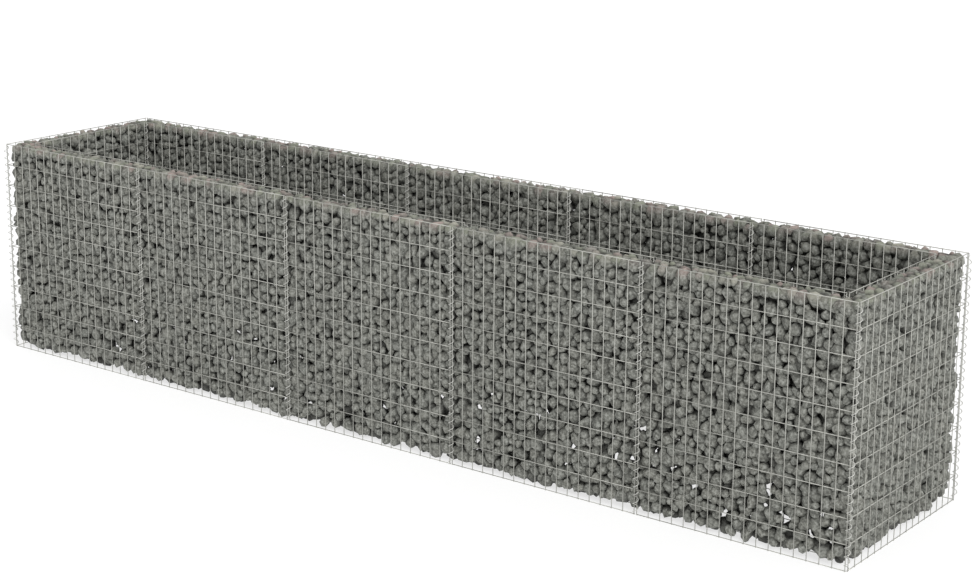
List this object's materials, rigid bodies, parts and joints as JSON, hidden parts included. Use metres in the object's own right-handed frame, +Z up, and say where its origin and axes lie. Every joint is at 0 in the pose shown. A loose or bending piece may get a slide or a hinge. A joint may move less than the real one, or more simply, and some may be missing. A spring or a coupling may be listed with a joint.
{
  "type": "gabion planter",
  "caption": "Long raised planter with double walls of welded wire mesh, rounded stones packed between them, and an open trough for soil.",
  "frame": {"origin": "on the ground under the middle of the planter", "axes": "+X along the length, the long side that the picture shows looks towards -Y, +Z up"},
  "size_m": [4.525, 0.9284, 1],
  "materials": {
    "outer_mesh": "galvanised",
    "inner_mesh": "galvanised",
    "binders": "galvanised",
    "stones": "rounded, dry"
  },
  "bodies": {
    "root": {"back_binders": "binders", "back_mesh_1": "outer_mesh", "back_mesh_2": "outer_mesh", "back_mesh_3": "outer_mesh", "back_mesh_4": "outer_mesh", "back_mesh_5": "outer_mesh", "back_stones_1": "stones", "back_stones_2": "stones", "back_stones_3": "stones", "back_stones_4": "stones", "back_stones_5": "stones", "corner_binders": "binders", "front_binders": "binders", "front_mesh_1": "outer_mesh", "front_mesh_2": "outer_mesh", "front_mesh_3": "outer_mesh", "front_mesh_4": "outer_mesh", "front_mesh_5": "outer_mesh", "front_stones_1": "stones", "front_stones_2": "stones", "front_stones_3": "stones", "front_stones_4": "stones", "front_stones_5": "stones", "inner_back_binders": "binders", "inner_back_mesh_1": "inner_mesh", "inner_back_mesh_2": "inner_mesh", "inner_back_mesh_3": "inner_mesh", "inner_back_mesh_4": "inner_mesh", "inner_back_mesh_5": "inner_mesh", "inner_corner_binders": "binders", "inner_front_binders": "binders", "inner_front_mesh_1": "inner_mesh", "inner_front_mesh_2": "inner_mesh", "inner_front_mesh_3": "inner_mesh", "inner_front_mesh_4": "inner_mesh", "inner_front_mesh_5": "inner_mesh", "inner_left_mesh": "inner_mesh", "inner_right_mesh": "inner_mesh", "left_mesh": "outer_mesh", "left_stones": "stones", "right_mesh": "outer_mesh", "right_stones": "stones"}
  },
  "joints": []
}
